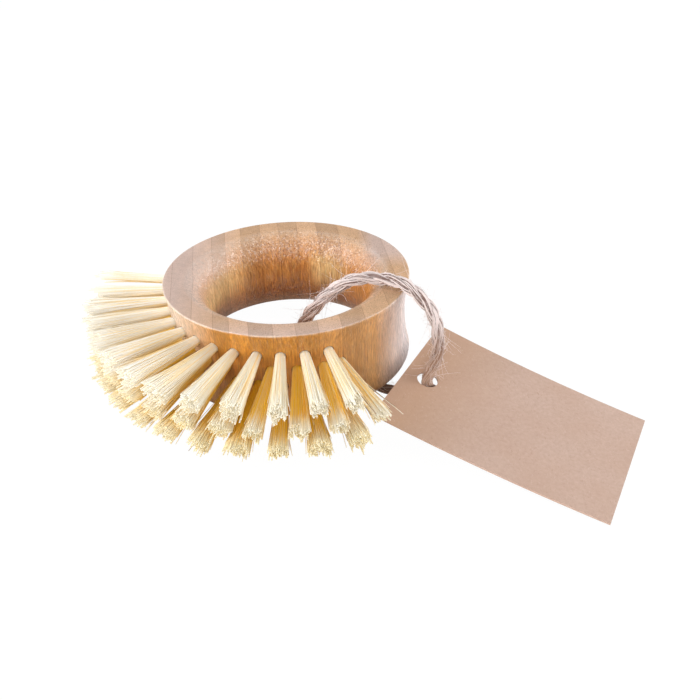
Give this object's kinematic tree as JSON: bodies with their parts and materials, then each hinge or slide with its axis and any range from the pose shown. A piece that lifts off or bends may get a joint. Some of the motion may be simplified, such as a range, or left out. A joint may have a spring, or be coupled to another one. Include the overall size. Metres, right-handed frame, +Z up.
{
  "type": "scrub brush",
  "caption": "Ring-handled scrub brush: a turned bamboo ring with rows of fibre tufts round part of its outer wall, and a loop of jute twine that carries a blank card tag.",
  "frame": {"origin": "on the table, under the middle of the box round the ring and its tufts; the twine and the tag don't count", "axes": "+Z up from the table; +X towards the side where the ring is raised by the twine under it and where the tag lies; the tufts point to -Y and -X"},
  "size_m": [0.1694, 0.1134, 0.0357],
  "materials": {
    "bamboo": "turned and sanded laminated bamboo, lightly oiled",
    "fibre": "stiff pale plant fibre, cut ends",
    "jute": "three-ply jute twine with fuzz",
    "card": "matte recycled kraft card"
  },
  "bodies": {
    "brush": {"ring_handle": "bamboo", "tuft_upper_01": "fibre", "tuft_upper_02": "fibre", "tuft_upper_03": "fibre", "tuft_upper_04": "fibre", "tuft_upper_05": "fibre", "tuft_upper_06": "fibre", "tuft_upper_07": "fibre", "tuft_upper_08": "fibre", "tuft_upper_09": "fibre", "tuft_upper_10": "fibre", "tuft_upper_11": "fibre", "tuft_upper_12": "fibre", "tuft_upper_13": "fibre", "tuft_middle_01": "fibre", "tuft_middle_02": "fibre", "tuft_middle_03": "fibre", "tuft_middle_04": "fibre", "tuft_middle_05": "fibre", "tuft_middle_06": "fibre", "tuft_middle_07": "fibre", "tuft_middle_08": "fibre", "tuft_middle_09": "fibre", "tuft_middle_10": "fibre", "tuft_middle_11": "fibre", "tuft_middle_12": "fibre", "tuft_middle_13": "fibre", "tuft_lower_01": "fibre", "tuft_lower_02": "fibre", "tuft_lower_03": "fibre", "tuft_lower_04": "fibre", "tuft_lower_05": "fibre", "tuft_lower_06": "fibre", "tuft_lower_07": "fibre", "tuft_lower_08": "fibre", "tuft_lower_09": "fibre", "tuft_lower_10": "fibre", "tuft_lower_11": "fibre", "tuft_lower_12": "fibre", "tuft_lower_13": "fibre"},
    "loop": {"twine_loop": "jute", "twine_knot": "jute"},
    "tag": {"swing_tag": "card"}
  },
  "joints": [
    {"name": "loop_slide", "type": "hinge", "parent": "brush", "child": "loop", "pos_m": [0.01129, 0.01234, 0.02927], "axis": [-0.0646, 0, 0.9979], "range_deg": [0, 30]},
    {"name": "tag_swing", "type": "hinge", "parent": "loop", "child": "tag", "pos_m": [0.05369, -0.01556, 0.0099], "axis": [-0.4617, -0.8852, -0.0568], "range_deg": [0, 40]}
  ]
}
